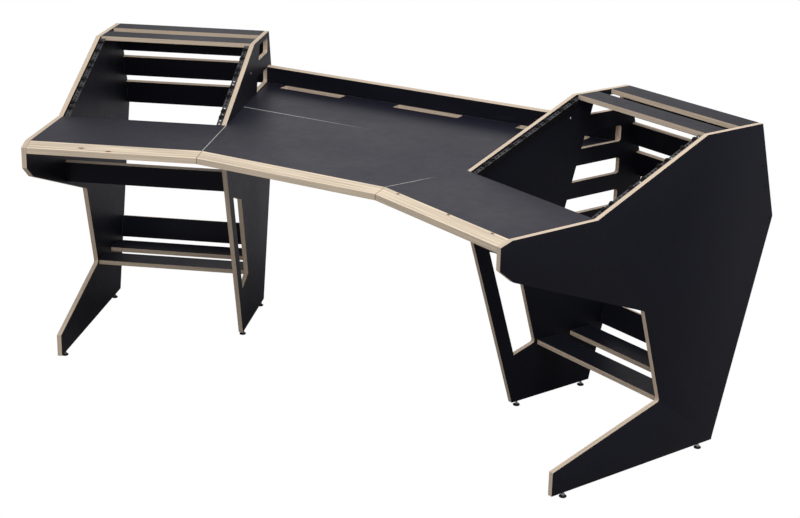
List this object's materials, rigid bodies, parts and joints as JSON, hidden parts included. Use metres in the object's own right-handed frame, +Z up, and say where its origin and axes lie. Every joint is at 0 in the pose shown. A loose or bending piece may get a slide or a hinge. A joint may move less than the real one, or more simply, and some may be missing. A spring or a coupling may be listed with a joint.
{
  "type": "studio desk",
  "caption": "Corner studio desk of black film-faced plywood: a centre worktop, angled wings with sloping equipment racks and slatted shelves, wooden front edging, levelling feet.",
  "frame": {"origin": "on the floor, below the centre of the desk's bounding box", "axes": "+X to the sitter's right, +Y from the sitter to the rear, +Z up"},
  "size_m": [2.2662, 1.0988, 0.915],
  "materials": {
    "film_faced_ply": "plywood with a matt black film face and bare light edges",
    "bare_ply": "bare light plywood edge, satin lacquer",
    "black_steel": "black powder coat",
    "bright_steel": "bright zinc",
    "black_plastic": "matt black"
  },
  "bodies": {
    "desk": {"centre_front_board": "film_faced_ply", "centre_rear_board": "film_faced_ply", "centre_upstand": "film_faced_ply", "centre_apron": "film_faced_ply", "centre_edging": "bare_ply", "joining_plate_left": "black_steel", "joining_plate_right": "black_steel", "right_inner_panel": "film_faced_ply", "right_outer_panel": "film_faced_ply", "right_worktop": "film_faced_ply", "right_edging": "bare_ply", "right_top_slat_front": "film_faced_ply", "right_top_slat_rear": "film_faced_ply", "right_rear_board_low": "film_faced_ply", "right_rear_board_middle": "film_faced_ply", "right_rear_board_high": "film_faced_ply", "right_lower_rear_board": "film_faced_ply", "right_shelf_slat_front": "film_faced_ply", "right_shelf_slat_rear": "film_faced_ply", "right_stretcher": "film_faced_ply", "right_rail_inner": "black_steel", "right_rail_outer": "black_steel", "right_bracket_front": "black_steel", "right_bracket_middle": "black_steel", "right_bracket_rear": "black_steel", "left_inner_panel": "film_faced_ply", "left_outer_panel": "film_faced_ply", "left_worktop": "film_faced_ply", "left_edging": "bare_ply", "left_top_slat_front": "film_faced_ply", "left_top_slat_rear": "film_faced_ply", "left_rear_board_low": "film_faced_ply", "left_rear_board_middle": "film_faced_ply", "left_rear_board_high": "film_faced_ply", "left_lower_rear_board": "film_faced_ply", "left_shelf_slat_front": "film_faced_ply", "left_shelf_slat_rear": "film_faced_ply", "left_stretcher": "film_faced_ply", "left_rail_inner": "black_steel", "left_rail_outer": "black_steel", "left_bracket_front": "black_steel", "left_bracket_middle": "black_steel", "left_bracket_rear": "black_steel"},
    "right_outer_front_pad": {"right_foot_pad_outer_front": "black_plastic"},
    "right_outer_front_stem": {"right_foot_stem_outer_front": "bright_steel"},
    "right_outer_rear_pad": {"right_foot_pad_outer_rear": "black_plastic"},
    "right_outer_rear_stem": {"right_foot_stem_outer_rear": "bright_steel"},
    "right_inner_front_pad": {"right_foot_pad_inner_front": "black_plastic"},
    "right_inner_front_stem": {"right_foot_stem_inner_front": "bright_steel"},
    "right_inner_rear_pad": {"right_foot_pad_inner_rear": "black_plastic"},
    "right_inner_rear_stem": {"right_foot_stem_inner_rear": "bright_steel"},
    "left_outer_front_pad": {"left_foot_pad_outer_front": "black_plastic"},
    "left_outer_front_stem": {"left_foot_stem_outer_front": "bright_steel"},
    "left_outer_rear_pad": {"left_foot_pad_outer_rear": "black_plastic"},
    "left_outer_rear_stem": {"left_foot_stem_outer_rear": "bright_steel"},
    "left_inner_front_pad": {"left_foot_pad_inner_front": "black_plastic"},
    "left_inner_front_stem": {"left_foot_stem_inner_front": "bright_steel"},
    "left_inner_rear_pad": {"left_foot_pad_inner_rear": "black_plastic"},
    "left_inner_rear_stem": {"left_foot_stem_inner_rear": "bright_steel"}
  },
  "joints": [
    {"name": "right_outer_front_height", "type": "slide", "parent": "desk", "child": "right_outer_front_pad", "axis": [0, 0, -1], "range_m": [-0.005, 0.01]},
    {"name": "right_outer_front_turn", "type": "hinge", "parent": "right_outer_front_pad", "child": "right_outer_front_stem", "pos_m": [0.85116, -0.30971, 0.0088], "axis": [0, 0, -1], "range_deg": [-1830, 3630]},
    {"name": "right_outer_rear_height", "type": "slide", "parent": "desk", "child": "right_outer_rear_pad", "axis": [0, 0, -1], "range_m": [-0.005, 0.01]},
    {"name": "right_outer_rear_turn", "type": "hinge", "parent": "right_outer_rear_pad", "child": "right_outer_rear_stem", "pos_m": [1.04441, 0.15685, 0.0088], "axis": [0, 0, -1], "range_deg": [-1830, 3630]},
    {"name": "right_inner_front_height", "type": "slide", "parent": "desk", "child": "right_inner_front_pad", "axis": [0, 0, -1], "range_m": [-0.005, 0.01]},
    {"name": "right_inner_front_turn", "type": "hinge", "parent": "right_inner_front_pad", "child": "right_inner_front_stem", "pos_m": [0.49296, 0.1321, 0.0088], "axis": [0, 0, -1], "range_deg": [-1830, 3630]},
    {"name": "right_inner_rear_height", "type": "slide", "parent": "desk", "child": "right_inner_rear_pad", "axis": [0, 0, -1], "range_m": [-0.005, 0.01]},
    {"name": "right_inner_rear_turn", "type": "hinge", "parent": "right_inner_rear_pad", "child": "right_inner_rear_stem", "pos_m": [0.59063, 0.36788, 0.0088], "axis": [0, 0, -1], "range_deg": [-1830, 3630]},
    {"name": "left_outer_front_height", "type": "slide", "parent": "desk", "child": "left_outer_front_pad", "axis": [0, 0, -1], "range_m": [-0.005, 0.01]},
    {"name": "left_outer_front_turn", "type": "hinge", "parent": "left_outer_front_pad", "child": "left_outer_front_stem", "pos_m": [-0.85116, -0.30971, 0.0088], "axis": [0, 0, -1], "range_deg": [-1830, 3630]},
    {"name": "left_outer_rear_height", "type": "slide", "parent": "desk", "child": "left_outer_rear_pad", "axis": [0, 0, -1], "range_m": [-0.005, 0.01]},
    {"name": "left_outer_rear_turn", "type": "hinge", "parent": "left_outer_rear_pad", "child": "left_outer_rear_stem", "pos_m": [-1.04441, 0.15685, 0.0088], "axis": [0, 0, -1], "range_deg": [-1830, 3630]},
    {"name": "left_inner_front_height", "type": "slide", "parent": "desk", "child": "left_inner_front_pad", "axis": [0, 0, -1], "range_m": [-0.005, 0.01]},
    {"name": "left_inner_front_turn", "type": "hinge", "parent": "left_inner_front_pad", "child": "left_inner_front_stem", "pos_m": [-0.49296, 0.1321, 0.0088], "axis": [0, 0, -1], "range_deg": [-1830, 3630]},
    {"name": "left_inner_rear_height", "type": "slide", "parent": "desk", "child": "left_inner_rear_pad", "axis": [0, 0, -1], "range_m": [-0.005, 0.01]},
    {"name": "left_inner_rear_turn", "type": "hinge", "parent": "left_inner_rear_pad", "child": "left_inner_rear_stem", "pos_m": [-0.59063, 0.36788, 0.0088], "axis": [0, 0, -1], "range_deg": [-1830, 3630]}
  ],
  "couplings": [
    {"joint": "right_outer_front_turn", "follows": "right_outer_front_height", "rad_per_m": 6283.2},
    {"joint": "right_outer_rear_turn", "follows": "right_outer_rear_height", "rad_per_m": 6283.2},
    {"joint": "right_inner_front_turn", "follows": "right_inner_front_height", "rad_per_m": 6283.2},
    {"joint": "right_inner_rear_turn", "follows": "right_inner_rear_height", "rad_per_m": 6283.2},
    {"joint": "left_outer_front_turn", "follows": "left_outer_front_height", "rad_per_m": 6283.2},
    {"joint": "left_outer_rear_turn", "follows": "left_outer_rear_height", "rad_per_m": 6283.2},
    {"joint": "left_inner_front_turn", "follows": "left_inner_front_height", "rad_per_m": 6283.2},
    {"joint": "left_inner_rear_turn", "follows": "left_inner_rear_height", "rad_per_m": 6283.2}
  ]
}
